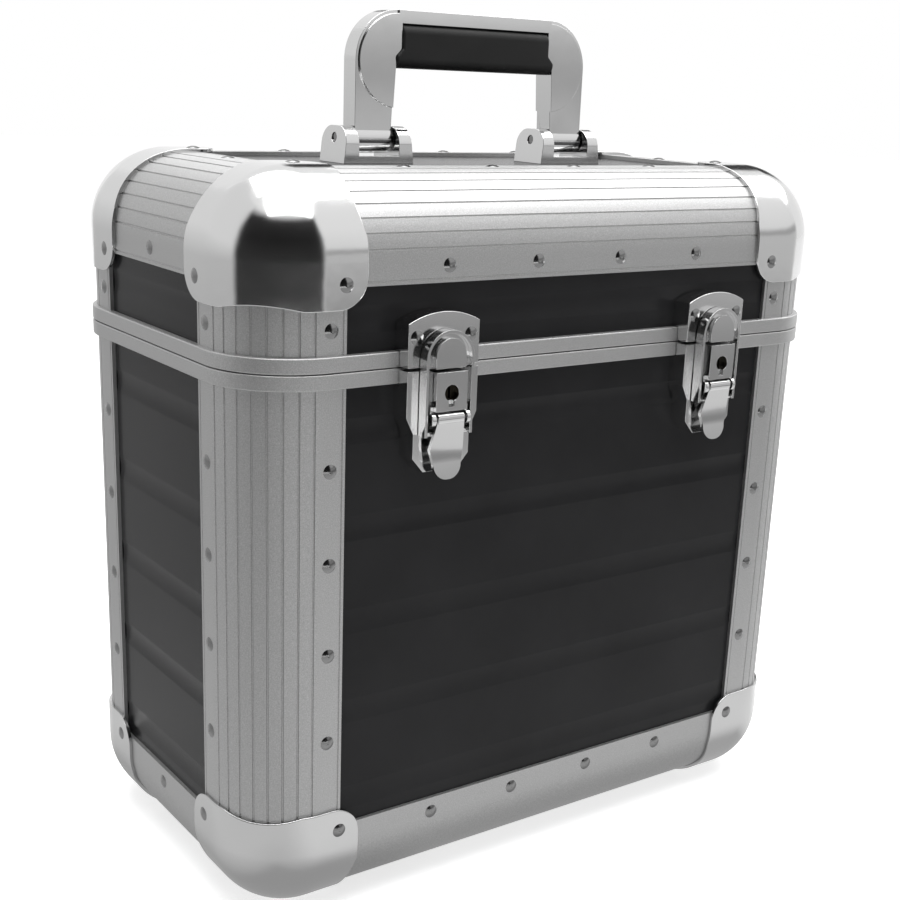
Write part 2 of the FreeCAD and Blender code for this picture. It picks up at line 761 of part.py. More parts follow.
def ball_corners():
    for group, level_z, up in (("base", "base_z", -1), ("lid", "top_z", 1)):
        for edge, (side, end, angle) in UPRIGHT_EDGES.items():
            name = f"{group}_{edge}_ball"
            turned = spin((0, 0, 1), angle)
            if up > 0:
                turned = turned.multiply(spin((1, 1, 0), 180))
            piece = ball_corner(name)
            piece.Placement = FreeCAD.Placement(FreeCAD.Vector(), turned)
            place(piece, f"{side} * half_width", f"{end} * half_depth", level_z)
            drilled(f"{group}_{edge}_ball_corner", piece, group)


# Handle

def screw_spots():
    """The four screws that hold the handle brackets from inside the lid."""
    spots = []
    for side in (-1, 1):
        for hand in (-1, 1):
            spots.append(f"{side} * bracket_spacing / 2 + {hand} * handle_screw_pitch / 2")
    return spots


def screw_rods(name, radius, low_z, high_z):
    rods = []
    for index, x in enumerate(screw_spots()):
        rods.append(rod(f"{name}{index}", "Z", radius, f"({high_z}) - ({low_z})", x, "0", low_z))
    return rods


def screw_holes(top):
    """Clearance holes for the screws, sunk for their heads on the inner face."""
    low = "top_z - board_inner"
    start, sunk = f"{low} - overrun", f"{low} + handle_screw_head_height"
    shanks = screw_rods("top_hole", "handle_screw_radius + rivet_fit", start, "top_z")
    sinks = screw_rods("top_sink", "handle_screw_head + rivet_fit", start, sunk)
    return cut("top_drilled", top, *shanks, *sinks)


def handle_screws():
    low = "top_z - board_inner"
    end = "panel_top_z + bracket_floor / 2"
    shanks = screw_rods("screw_shank", "handle_screw_radius", low, end)
    heads = screw_rods("screw_head", "handle_screw_head", low, f"{low} + handle_screw_head_height")
    solids = [fuse(f"handle_screw{index}", shanks[index], heads[index]) for index in range(len(shanks))]
    keep("handle_screws", bundle("handle_screws", solids))


def bracket(name, side):
    """A clevis block: two ears with rounded shoulders, a slot for the arm and a bore for the pin."""
    half, top = "bracket_length / 2", "bracket_height"
    lean = f"{half} - bracket_lean"
    corners = [(f"-({half})", "0"), (half, "0"), (lean, top), (f"-({lean})", top)]
    block = place(prism(name + "_block", "XZ_Plane", corners, "bracket_depth"), y="bracket_depth / 2")
    level = value(top)

    def shoulders(direction, middle):
        return abs(direction.x) > abs(direction.z) and abs(middle.z - level) < value("overrun") / 2

    round_off(block, "bracket_round", shoulders)
    slot_x, slot_y = ("-bracket_slot / 2", "bracket_slot / 2"), ("-bracket_depth", "bracket_depth")
    tools = [box(name + "_slot", slot_x, slot_y, ("bracket_floor", f"{top} + overrun"))]
    run = "bracket_length + 2 * overrun"
    pin = (f"-({run}) / 2", "0", "handle_pin_height")
    tools.append(rod(name + "_bore", "X", "handle_pin_radius", run, *pin))
    deep = "bracket_floor / 2 + overrun"
    for hand in (-1, 1):
        x = f"{hand} * handle_screw_pitch / 2"
        tools.append(rod(f"{name}_hole{hand + 1}", "Z", "handle_screw_radius", deep, x, "0", "-overrun"))
    piece = place(cut(name, block, *tools), x=f"{side} * bracket_spacing / 2", z="panel_top_z")
    return keep(name, piece)


def mirrored(corners):
    """An outline that is the same on both sides of zero, from its right half."""
    return corners + [(f"-({x})", z) for x, z in reversed(corners)]


def grip_side(fit):
    """The right end of the grip in the front view, from its top to its longer lower part."""
    near, far = f"grip_length / 2 - {fit}", f"grip_low_length / 2 - {fit}"
    slant = "(grip_low_length - grip_length) / 2"
    upper = [(near, f"grip_top_z - {fit}"), (near, f"grip_step_z + {slant}")]
    return upper + [(far, "grip_step_z"), (far, "grip_low_z")]


def handle_bridge(name, depth):
    """Two arms and the top band in one piece of the given depth, with rounded elbows."""
    half, inner = "handle_reach / 2", "handle_reach / 2 - handle_arm"
    right = grip_side("0") + [(inner, "handle_pin_z"), (half, "handle_pin_z"), (half, "handle_top_z")]
    bridge = place(prism(name, "XZ_Plane", mirrored(right), depth), y=f"({depth}) / 2")
    level = value("handle_top_z")

    def elbows(direction, middle):
        return is_crossing(direction) and abs(middle.z - level) < value("overrun")

    round_off(bridge, "handle_elbow", elbows)
    return bridge


def handle_frame():
    """A bridge of two arms, rounded elbows and a top band. The band and a disc on each elbow stand
    proud of the arms, at the front and at the back."""
    half_band = "(handle_reach / 2 - handle_elbow)"
    middle_z = "handle_top_z - handle_elbow"
    across, through = (f"-{half_band}", half_band), ("-handle_depth / 2", "handle_depth / 2")
    proud = [box("handle_band_block", across, through, (middle_z, "handle_top_z"))]
    ends, tools = [], []
    run = "handle_arm + 2 * overrun"
    bore = "handle_pin_radius + handle_fit"
    for side, hand in ((-1, "left"), (1, "right")):
        start = f"{side} * (handle_reach / 2 - handle_arm / 2) - handle_arm / 2"
        pin = ("0", "handle_pin_z")
        ends.append(rod(f"handle_eye_{hand}", "X", "handle_depth / 2", "handle_arm", start, *pin))
        tools.append(rod(f"handle_bore_{hand}", "X", bore, run, f"{start} - overrun", *pin))
        spot = (f"{side} * {half_band}", "-handle_depth / 2", middle_z)
        proud.append(rod(f"handle_disc_{hand}", "Y", "handle_disc_radius", "handle_depth", *spot))
    thin = handle_bridge("handle_arms", "handle_depth - 2 * handle_disc_rise")
    full = handle_bridge("handle_outline", "handle_depth")
    raised = common("handle_raised", full, fuse("handle_proud", *proud))
    keep("handle_frame", cut("handle_frame", fuse("handle_whole", thin, raised, *ends), *tools))


def handle_grip():
    """The soft grip under the top band, rounded along its length."""
    body = prism("handle_grip", "XZ_Plane", mirrored(grip_side("handle_fit")), "grip_depth")

    def lengthways(direction, middle):
        return abs(direction.x) > abs(direction.y) + abs(direction.z) and abs(middle.x) < value("overrun")

    round_off(body, "grip_round", lengthways)
    keep("handle_grip", place(body, y="grip_depth / 2"))


def bundle(node, things):
    """Alike pieces as separate solids in one sub-part."""
    bunch = doc.addObject("Part::Compound", node)
    bunch.Links = things
    return bunch


def handle_pins():
    pins = []
    run = "bracket_length - 2 * bracket_lean"
    for side in (-1, 1):
        start = f"{side} * bracket_spacing / 2 - ({run}) / 2"
        pins.append(rod(f"handle_pin{side + 1}", "X", "handle_pin_radius", run, start, "0", "handle_pin_z"))
    keep("handle_pins", bundle("handle_pins", pins))


# Latches. Each is drawn about x = 0 and then moved to its side.

def rim_notch(name):
    """Room for the rims where they run behind the latch plates."""
    x = ("-latch_width", "latch_width")
    y = ("-(half_depth + rim_proud + profile_fit)", "panel_front_y + overrun")
    z = ("seam_z - rim_height - 2 * profile_fit", "seam_z + rim_height + 2 * profile_fit")
    return box(name, x, y, z)


def arched(name, inset, front, low):
    """A block with an arched top: the outline of the lid plate, moved in by the inset."""
    half, top = f"(latch_width / 2 - {inset})", f"latch_lid_z + lid_plate_height - {inset}"
    block = box(name + "_block", (f"-{half}", half), (front, "panel_front_y"), (low, top))
    arch = f"lid_plate_arch - {inset}"
    crown = rod(name + "_arch", "Y", arch, "half_depth", "0", f"{front} - overrun", f"{top} - ({arch})")
    return common(name, block, crown)


def lid_plate(name, x):
    """A pressed dish with an arched top, and on it the low catch that sits under the hood."""
    sheet_y, low = "plate_front_y + latch_sheet", "latch_lid_z + latch_sheet"
    dish = arched(name + "_dish", "0", "plate_front_y", "latch_lid_z")
    hollow = arched(name + "_hollow", "latch_sheet", sheet_y, low)
    shell = cut(name + "_shell", dish, hollow, rim_notch(name + "_notch"))
    wide = ("-catch_width / 2", "catch_width / 2")
    rise = ("plate_front_y - catch_rise", "plate_front_y")
    catch = box(name + "_catch", wide, rise, (low, f"{low} + catch_height"))
    drilled(name, place(bundle(name + "_pair", [shell, catch]), x=x), "lid")


def base_plate_outline(inset):
    half = f"latch_width / 2 - {inset}"
    waist = f"base_plate_waist_width / 2 - {inset}"
    chin = f"base_plate_chin_width / 2 - {inset} / 2"
    bottom = f"latch_base_z - base_plate_height + {inset}"
    right = [(chin, bottom), (waist, "latch_base_z - base_plate_chin")]
    right += [(waist, "latch_base_z - base_plate_waist"), (half, "latch_base_z - base_plate_shoulder")]
    right += [(half, f"latch_base_z - {inset}")]
    return mirrored(right)


def lever_cheeks(name):
    """Two cheeks under the lock block, each with an eye for the lever's pin."""
    cheeks = []
    y = ("lever_pin_y", "plate_front_y")
    z = ("lever_pin_z - cheek_radius", "block_low_z + cheek_wall")
    for hand, start in (("left", "-lock_block_width / 2 - cheek_wall"), ("right", "lock_block_width / 2")):
        pin = ("lever_pin_y", "lever_pin_z")
        cheeks.append(rod(f"{name}_eye_{hand}", "X", "cheek_radius", "cheek_wall", start, *pin))
        cheeks.append(box(f"{name}_cheek_{hand}", (start, f"{start} + cheek_wall"), y, z))
    return cheeks


def base_plate(name, x):
    """A pressed dish that narrows below, and on it the lock block with two cheeks for the pin."""
    deep = "latch_proud + profile_wall"
    dish = place(prism(name + "_dish", "XZ_Plane", base_plate_outline("0"), deep), y="panel_front_y")
    hollow = prism(name + "_hollow", "XZ_Plane", base_plate_outline("latch_sheet"), f"{deep} - latch_sheet")
    shell = cut(name + "_shell", dish, place(hollow, y="panel_front_y"), rim_notch(name + "_notch"))
    wide = ("-lock_block_width / 2", "lock_block_width / 2")
    block = box(name + "_block", wide, ("block_front_y", "plate_front_y"), ("block_low_z", "latch_base_z"))
    pin = ("-latch_width / 2", "lever_pin_y", "lever_pin_z")
    pin_bore = rod(name + "_pin_bore", "X", "lever_pin_radius", "latch_width", *pin)
    mouth = ("0", "block_front_y - overrun", "lock_z")
    run = "lock_plug_depth + lock_plug_length + overrun"
    lock_bore = rod(name + "_lock_bore", "Y", "lock_plug_radius + lock_plug_fit", run, *mouth)
    slot_x = ("-keyhole_slot_width / 2", "keyhole_slot_width / 2")
    slot_y = ("block_front_y - overrun", "block_front_y + lock_plug_depth")
    slot = box(name + "_keyhole", slot_x, slot_y, ("lock_z - keyhole_slot_drop", "lock_z"))
    whole = fuse(name + "_housing", block, *lever_cheeks(name))
    lock = cut(name + "_bored", whole, pin_bore, lock_bore, slot)
    drilled(name, place(bundle(name + "_pair", [shell, lock]), x=x), "base")


def lever_mask(name, ridge_z, tip_z):
    """The front view of the lever: widest at its ridge, with a round tongue."""
    tip = "tongue_tip_width / 2"
    right = [(tip, tip_z), (tip, f"{tip_z} + {tip}")]
    right += [("lever_wide / 2", ridge_z), ("lever_width / 2", "lever_pin_z + lever_head")]
    mask = place(prism(name, "XZ_Plane", mirrored(right), "lock_block_front"), y="plate_front_y + overrun")
    level = value(f"{tip_z} + overrun")

    def tip_corners(direction, middle):
        return is_crossing(direction) and middle.z < level

    return round_off(mask, f"{tip} - overrun / 2", tip_corners)


def lever(name, x):
    """A flat lever from its knuckle down to the ridge, and a tongue that lifts away below it. The
    bar behind it carries the hood."""
    face = "lever_pin_y - lever_knuckle"
    ridge = ("-(half_depth + lever_ridge_out)", "seam_z - lever_ridge_drop")
    tip = ("-(half_depth + tongue_tip_out)", "seam_z - tongue_tip_drop")
    front = [(face, "lever_pin_z + lever_head"), ridge, tip]
    side_view = front + [(f"{y} + lever_sheet", z) for y, z in reversed(front)]
    strip = place(prism(name + "_strip", "YZ_Plane", side_view, "lever_wide"), x="-lever_wide / 2")
    blade = common(name + "_blade", strip, lever_mask(name + "_mask", ridge[1], tip[1]))
    wide = ("-lever_width / 2", "lever_width / 2")
    pin = ("lever_pin_y", "lever_pin_z")
    knuckle = rod(name + "_knuckle", "X", "lever_knuckle", "lever_width", wide[0], *pin)
    pivot = ("hood_pivot_y", "hood_pivot_z")
    bar = rod(name + "_bar", "X", "hood_pivot_radius", "hood_width", "-hood_width / 2", *pivot)
    head_drop = "(lever_pin_drop - lever_head)"
    slope = f"(hood_pivot_drop - {head_drop}) / (lever_ridge_drop - {head_drop})"
    seat_y = f"{face} + {slope} * (lever_pin_out + lever_knuckle - lever_ridge_out) + lever_sheet / 2"
    lug_z = ("hood_pivot_z - hood_pivot_radius", "hood_pivot_z + hood_pivot_radius")
    lug = box(name + "_lug", wide, (seat_y, pivot[0]), lug_z)
    bore_radius = "lever_pin_radius + lever_pin_fit"
    bore = rod(name + "_bore", "X", bore_radius, "latch_width", "-latch_width / 2", *pin)
    keep(name, place(cut(name, fuse(name + "_whole", knuckle, blade, bar, lug), bore), x=x))


def hood_outline(name, half, top, low, y):
    """A strip with a half-round top, above its low end."""
    wide = (f"-({half})", half)
    strip = box(name + "_strip", wide, y, (low, f"{top} - ({half})"))
    cap = rod(name + "_cap", "Y", half, f"({y[1]}) - ({y[0]})", "0", y[0], f"{top} - ({half})")
    return common(name, fuse(name + "_full", strip, cap), box(name + "_above", wide, y, (low, top)))


def hood(name, x):
    """An arched bridge on the lever, and in it a web with a D-shaped nose above the seam. The web
    lies over the catch of the lid plate."""
    top, low = "(seam_z + hood_top)", "(seam_z - hood_drop)"
    front, back = "-(half_depth + hood_front)", "(plate_front_y - hood_gap)"
    web_back = "(plate_front_y - catch_rise - hood_gap)"
    outer = hood_outline(name + "_outer", "hood_width / 2", top, low, (front, back))
    through = (f"{front} - overrun", f"{back} + overrun")
    inner_half = "hood_width / 2 - hood_sheet"
    inner = hood_outline(name + "_inner", inner_half, f"({top} - hood_sheet)", f"({low} - overrun)", through)
    pivot = ("-latch_width / 2", "hood_pivot_y", "hood_pivot_z")
    bore = rod(name + "_bore", "X", "hood_pivot_radius + lever_pin_fit", "latch_width", *pivot)
    arch = cut(name + "_wall", outer, inner, bore)
    web_y = (f"{web_back} - hood_sheet", web_back)
    web = hood_outline(name + "_web", inner_half, f"({top} - hood_sheet)", "latch_lid_z", web_y)
    nose_top, nose_y = "(latch_lid_z + hood_nose_top)", (f"{front} - hood_nose_proud", web_back)
    nose = hood_outline(name + "_nose", "hood_nose_width / 2", nose_top, "latch_lid_z", nose_y)
    keep(name, place(bundle(name, [arch, fuse(name + "_face", web, nose)]), x=x))


def lock_plug(name, x):
    """The key plug behind the keyhole, with its slit."""
    front = "block_front_y + lock_plug_depth"
    plug = rod(name + "_body", "Y", "lock_plug_radius", "lock_plug_length", "0", front, "lock_z")
    reach = "key_slit_share * lock_plug_radius"
    slit_y = (f"{front} - overrun", f"{front} + key_slit_depth")
    slit_z = (f"lock_z - {reach}", f"lock_z + {reach}")
    slit = box(name + "_slit", ("-key_slit / 2", "key_slit / 2"), slit_y, slit_z)
    keep(name, place(cut(name, plug, slit), x=x))


def latches():
    pins = []
    half = "(lock_block_width / 2 + cheek_wall)"
    for side, hand in ((-1, "left"), (1, "right")):
        x = f"{side} * latch_spacing / 2"
        lid_plate(f"latch_{hand}_lid_plate", x)
        base_plate(f"latch_{hand}_base_plate", x)
        lever(f"latch_{hand}_lever", x)
        hood(f"latch_{hand}_hood", x)
        lock_plug(f"latch_{hand}_lock_plug", x)
        pin = (f"{x} - {half}", "lever_pin_y", "lever_pin_z")
        pins.append(rod(f"lever_pin_{hand}", "X", "lever_pin_radius", f"2 * {half}", *pin))
    keep("latch_pins", bundle("latch_pins", pins))


# Hinges

HINGE_AXIS = ("hinge_axis_y", "seam_z")


def hinge_leaf(name, up, x):
    """A leaf that steps from the board out over the rim, with its own knuckles. The base leaf has
    the two outer knuckles and the lid leaf the middle one."""
    strap, plate = "hinge_strap_y", "half_depth - profile_wall"
    near, end = f"seam_z + {up} * seam_gap / 2", f"seam_z + {up} * hinge_leaf"
    step = f"seam_z + {up} * (rim_height + seam_gap)"
    lift = f"{step} + {up} * hinge_sheet"
    inner_face = [(strap, near), (strap, step), (plate, step), (plate, end)]
    outer_face = [(f"{plate} + hinge_sheet", end), (f"{plate} + hinge_sheet", lift)]
    outer_face += [(f"{strap} + hinge_sheet", lift), (f"{strap} + hinge_sheet", near)]
    leaf = prism(name + "_leaf", "YZ_Plane", inner_face + outer_face, "hinge_width")
    place(leaf, x="-hinge_width / 2")
    low, high = "-hinge_width / 2", "hinge_width / 2 - hinge_knuckle_length"
    wide = "hinge_knuckle_length + hinge_side_gap"
    spans = {
        -1: [(low, "hinge_knuckle_length"), (high, "hinge_knuckle_length")],
        1: [(f"{wide} - hinge_width / 2", f"hinge_width - 2 * ({wide})")],
    }
    rooms = {
        -1: [("hinge_knuckle_length - hinge_width / 2", "hinge_width - 2 * hinge_knuckle_length")],
        1: [(low, wide), (f"{high} - hinge_side_gap", wide)],
    }
    own, clear = [], []
    for index, (start, run) in enumerate(spans[up]):
        own.append(rod(f"{name}_knuckle{index}", "X", "hinge_knuckle", run, start, *HINGE_AXIS))
    for index, (start, run) in enumerate(rooms[up]):
        clear.append(rod(f"{name}_room{index}", "X", "hinge_knuckle + hinge_clear", run, start, *HINGE_AXIS))
    bore_run = "hinge_width + 2 * overrun"
    bore_radius = "hinge_pin_radius + hinge_pin_fit"
    bore = rod(name + "_bore", "X", bore_radius, bore_run, f"-({bore_run}) / 2", *HINGE_AXIS)
    whole = fuse(name + "_whole", cut(name + "_cleared", leaf, *clear), *own)
    return place(cut(name, whole, bore), x=x)


def hinges():
    """Two hinges, each with a leaf on the base, a leaf on the lid and a pin."""
    places = ("-hinge_spacing / 2", "hinge_spacing / 2")
    for group, up in (("base", -1), ("lid", 1)):
        leaves = [hinge_leaf(f"hinge_{group}{index}", up, x) for index, x in enumerate(places)]
        drilled(f"hinge_{group}_leaves", bundle(f"hinge_{group}_pair", leaves), group)
    pins = []
    for index, x in enumerate(places):
        start = f"{x} - hinge_width / 2"
        pins.append(rod(f"hinge_pin{index}", "X", "hinge_pin_radius", "hinge_width", start, *HINGE_AXIS))
    keep("hinge_pins", bundle("hinge_pins", pins))


def seats():
    """Every rivet of the case."""
    edge_seats("base", "base_z", -1)
    edge_seats("lid", "top_z", 1)
    for index in range(int(SIZES["rivet_count_upright"])):
        upright_seats("base", f"base_z + rivet_first_rise + {index} * rivet_pitch_upright")
    upright_seats("lid", "seam_z + rivet_lid_rise")
    corner_seats("base", "base_z", -1)
    corner_seats("lid", "top_z", 1)
    hardware_seats()


def write_parts():
    """Checks the document and writes each sub-part to its own file, with the middle of the
    footprint at zero."""
    doc.recompute()
    shift = FreeCAD.Vector(0, value("frame_shift"), 0)
    for item in doc.Objects:
        if {"Invalid", "Error"} & set(item.State):
            raise RuntimeError(f"{item.Name} failed: {item.State}")
    os.makedirs("parts", exist_ok=True)
    for node, thing in PARTS.items():
        shape = thing.Shape.copy()
        if shape.isNull() or not shape.isValid():
            raise RuntimeError(f"{node} has no valid shape")
        shape.translate(shift)
        shape.exportStep(f"parts/{node}.step")
    print(len(PARTS), "sub-parts written")


fill_sheet()
seats()
boards()
upright_profiles()
level_profiles("base_bottom", "base_z", -1, False)
level_profiles("lid_top", "top_z", 1, True)
rims()
linings()
ball_corners()
bracket("handle_left_bracket", -1)
bracket("handle_right_bracket", 1)
handle_frame()
handle_grip()
handle_pins()
handle_screws()
latches()
hinges()
rivets("base")
rivets("lid")
write_parts()
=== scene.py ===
import json
import math

import bmesh
import bpy
from mathutils import Matrix, Vector, noise


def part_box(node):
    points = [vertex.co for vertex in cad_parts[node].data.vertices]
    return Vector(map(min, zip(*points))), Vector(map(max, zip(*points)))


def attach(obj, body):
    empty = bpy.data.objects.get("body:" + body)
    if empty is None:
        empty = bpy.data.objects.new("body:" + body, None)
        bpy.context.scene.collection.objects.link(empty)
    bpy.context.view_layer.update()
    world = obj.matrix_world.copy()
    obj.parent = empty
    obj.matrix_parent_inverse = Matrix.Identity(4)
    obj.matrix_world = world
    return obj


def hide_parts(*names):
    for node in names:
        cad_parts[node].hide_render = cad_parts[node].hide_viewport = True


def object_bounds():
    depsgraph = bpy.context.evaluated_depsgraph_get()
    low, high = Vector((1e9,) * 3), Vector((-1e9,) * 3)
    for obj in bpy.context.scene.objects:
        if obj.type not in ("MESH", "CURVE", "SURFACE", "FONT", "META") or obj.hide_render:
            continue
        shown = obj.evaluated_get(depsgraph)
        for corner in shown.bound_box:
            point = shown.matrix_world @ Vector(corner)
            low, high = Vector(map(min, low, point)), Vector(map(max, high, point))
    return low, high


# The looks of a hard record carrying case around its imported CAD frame. Metres, in the frame's own
# axes.

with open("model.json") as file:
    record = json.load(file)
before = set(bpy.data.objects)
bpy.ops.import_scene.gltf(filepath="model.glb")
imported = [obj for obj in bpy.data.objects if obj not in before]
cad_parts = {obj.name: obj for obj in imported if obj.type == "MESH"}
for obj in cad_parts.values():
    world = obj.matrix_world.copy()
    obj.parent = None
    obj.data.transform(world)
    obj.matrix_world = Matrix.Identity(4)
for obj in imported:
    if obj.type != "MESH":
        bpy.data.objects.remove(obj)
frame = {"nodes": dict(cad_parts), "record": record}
cad_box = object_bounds()

MM = 0.001


# Colour and material helpers

def linear(colour):
    """An sRGB hex value as linear red, green, blue and alpha."""
    shares = [int(colour[at:at + 2], 16) / 255 for at in (1, 3, 5)]
    return [s / 12.92 if s <= 0.04045 else ((s + 0.055) / 1.055) ** 2.4 for s in shares] + [1.0]


def fit_stops(band, stops):
    """Gives a colour band its (place, hex colour) stops."""
    while len(band.elements) < len(stops):
        band.elements.new(0.5)
    for element, (place, colour) in zip(band.elements, stops):
        element.position = place
        element.color = linear(colour)


def fit(tree, node, settings=None, links=None):
    """Gives a node its settings, by attribute, by socket or as the stops of its colour band, and
    its incoming links, each from a socket or from the first output of a node."""
    for word, setting in (settings or {}).items():
        if word == "stops":
            fit_stops(node.color_ramp, setting)
        elif isinstance(word, str) and hasattr(node, word):
            setattr(node, word, setting)
        else:
            node.inputs[word].default_value = setting
    for word, source in (links or {}).items():
        tree.links.new(getattr(source, "outputs", [source])[0], node.inputs[word])
    return node


def add(tree, kind, settings=None, links=None):
    """Adds a node with its settings and its incoming links."""
    return fit(tree, tree.nodes.new(kind), settings, links)


def finish(name):
    """A new node material, with its tree and its shader."""
    material = bpy.data.materials.new(name)
    material.use_nodes = True
    tree = material.node_tree
    return material, tree, tree.nodes["Principled BSDF"]


def pattern(tree, kind, millimetres, settings=None):
    """A texture on Object coordinates whose features are as large as the given millimetres."""
    where = add(tree, "ShaderNodeTexCoord").outputs["Object"]
    size = {"Scale": 1 / (millimetres * MM)}
    return add(tree, kind, {**size, **(settings or {})}, {"Vector": where})


# Materials

def laminate():
    """Black melamine film pressed on plywood: smooth and slightly glossy, with a fine pebble that
    breaks the highlights up. The pebble is 0.4 mm on the real sheet and is drawn at 0.9 mm to
    show."""
    material, tree, shader = finish("black melamine laminate")
    cloud = pattern(tree, "ShaderNodeTexNoise", millimetres=60,
                    settings={"Detail": 3.0, "Roughness": 0.5})
    pebble = pattern(tree, "ShaderNodeTexNoise", millimetres=0.9,
                     settings={"Detail": 2.0, "Roughness": 0.6})
    tone = add(tree, "ShaderNodeValToRGB", {"stops": [(0.3, "#1D1D1E"), (0.7, "#232324")]},
               {"Fac": cloud})
    gloss = add(tree, "ShaderNodeMapRange", {"To Min": 0.19, "To Max": 0.27}, {"Value": cloud})
    relief = add(tree, "ShaderNodeBump", {"Strength": 0.35, "Distance": 0.02 * MM},
                 {"Height": pebble})
    fit(tree, shader, {"IOR": 1.5, "Specular IOR Level": 0.13},
        {"Base Color": tone, "Roughness": gloss, "Normal": relief})
    return material


def satin_aluminium():
    """Extruded aluminium, blasted and clear anodised: pale grey with a fine bright grain, about
    0.3 mm and drawn at 0.5 mm."""
    material, tree, shader = finish("blasted anodised aluminium")
    grain = pattern(tree, "ShaderNodeTexNoise", millimetres=0.5,
                    settings={"Detail": 2.0, "Roughness": 0.7})
    greys = [(0.25, "#A4A4A4"), (0.5, "#B8B8B8"), (0.75, "#CECECE")]
    tone = add(tree, "ShaderNodeValToRGB", {"stops": greys}, {"Fac": grain})
    gloss = add(tree, "ShaderNodeMapRange", {"To Min": 0.4, "To Max": 0.58}, {"Value": grain})
    relief = add(tree, "ShaderNodeBump", {"Strength": 0.4, "Distance": 0.03 * MM},
                 {"Height": grain})
    fit(tree, shader, {"Metallic": 1.0},
        {"Base Color": tone, "Roughness": gloss, "Normal": relief})
    return material


def chrome(name, colour, low, high, ripple):
    """Plated pressed steel, with its lowest and highest roughness. The ripple is the orange peel
    of the polishing, in millimetres of depth."""
    material, tree, shader = finish(name)
    smear = pattern(tree, "ShaderNodeTexNoise", millimetres=14,
                    settings={"Detail": 3.0, "Roughness": 0.55})
    wave = pattern(tree, "ShaderNodeTexNoise", millimetres=9,
                   settings={"Detail": 1.0, "Roughness": 0.4})
    gloss = add(tree, "ShaderNodeMapRange", {"To Min": low, "To Max": high}, {"Value": smear})
    relief = add(tree, "ShaderNodeBump", {"Strength": 0.5, "Distance": ripple * MM},
                 {"Height": wave})
    fit(tree, shader, {"Base Color": linear(colour), "Metallic": 1.0},
        {"Roughness": gloss, "Normal": relief})
    return material


def black_grip():
    """Moulded soft PVC: matt black with a fine leather grain of about 0.9 mm."""
    material, tree, shader = finish("moulded black PVC")
    grain = pattern(tree, "ShaderNodeTexVoronoi", millimetres=0.9,
                    settings={"feature": "DISTANCE_TO_EDGE"})
    cloud = pattern(tree, "ShaderNodeTexNoise", millimetres=20, settings={"Detail": 2.0})
    tone = add(tree, "ShaderNodeValToRGB", {"stops": [(0.3, "#0F0F0F"), (0.7, "#161616")]},
               {"Fac": cloud})
    relief = add(tree, "ShaderNodeBump", {"Strength": 0.5, "Distance": 0.08 * MM},
                 {"Height": grain.outputs["Distance"]})
    fit(tree, shader, {"Roughness": 0.55, "Specular IOR Level": 0.3},
        {"Base Color": tone, "Normal": relief})
    return material


def foam():
    """Closed-cell EVA foam: dark, dull and finely pitted, cells about 0.6 mm drawn at 1.2 mm."""
    material, tree, shader = finish("closed-cell EVA foam")
    cells = pattern(tree, "ShaderNodeTexVoronoi", millimetres=1.2)
    cloud = pattern(tree, "ShaderNodeTexNoise", millimetres=35, settings={"Detail": 3.0})
    tone = add(tree, "ShaderNodeValToRGB", {"stops": [(0.3, "#1B1B1D"), (0.7, "#26262A")]},
               {"Fac": cloud})
    relief = add(tree, "ShaderNodeBump", {"Strength": 0.5, "Distance": 0.15 * MM},
                 {"Height": cells.outputs["Distance"]})
    fit(tree, shader, {"Roughness": 0.9, "Sheen Weight": 0.15},
        {"Base Color": tone, "Normal": relief})
    return material


def machined_brass():
    """Turned brass, drawn very dark, nearly black."""
    material, tree, shader = finish("turned brass")
    smear = pattern(tree, "ShaderNodeTexNoise", millimetres=3, settings={"Detail": 2.0})
    tone = add(tree, "ShaderNodeValToRGB", {"stops": [(0.3, "#1E1C18"), (0.7, "#2A2721")]},
               {"Fac": smear})
    fit(tree, shader, {"Metallic": 1.0, "Roughness": 0.38}, {"Base Color": tone})
    return material


FINISHES = {
    "laminated_board": laminate(),
    "satin_aluminium": satin_aluminium(),
    "polished_corner": chrome("polished plated steel", "#DADADA", low=0.09, high=0.16, ripple=0.16),
    "satin_corner": chrome("satin plated steel", "#CACACA", low=0.17, high=0.26, ripple=0.03),
    "rivet_steel": chrome("zinc plated steel", "#888888", low=0.12, high=0.2, ripple=0.01),
    "bright_chrome": chrome("bright chrome plate", "#D6D6D6", low=0.09, high=0.17, ripple=0.03),
    "black_grip": black_grip(),
    "foam_lining": foam(),
    "lock_brass": machined_brass(),
}

SLOTS = {row["node"]: row["material_slot"] for row in frame["record"]["subparts"]}
for node, thing in frame["nodes"].items():
    thing.data.materials.clear()
    thing.data.materials.append(FINISHES[SLOTS[node]])


# Pieces

MERGE_REACH = 0.001 * MM
FLAT_ANGLE, EDGE_ANGLE = math.radians(0.3), math.radians(32)
EDGE_SEGMENTS = 3


def placed(name, data):
    """A new object of the scene."""
    thing = bpy.data.objects.new(name, data)
    bpy.context.scene.collection.objects.link(thing)
    return thing


def shaped(name, shell, smooth=False):
    """A new object from a bmesh, which is freed."""
    mesh = bpy.data.meshes.new(name)
    shell.to_mesh(mesh)
    shell.free()
    for face in mesh.polygons:
        face.use_smooth = smooth
    return placed(name, mesh)


def body_of(node):
    """The name of the body that carries a CAD node."""
    bodies = frame["record"]["behaviour"]["bodies"]
    return next(body for body, nodes in bodies.items() if node in nodes)


def dressed(piece, node):
    """Gives a new piece its finish and its body, and hides the CAD node that it stands for."""
    slot = SLOTS[node]
    piece.data.materials.clear()
    piece.data.materials.append(FINISHES[slot])
    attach(piece, body_of(node))
    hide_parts(node)
    return piece


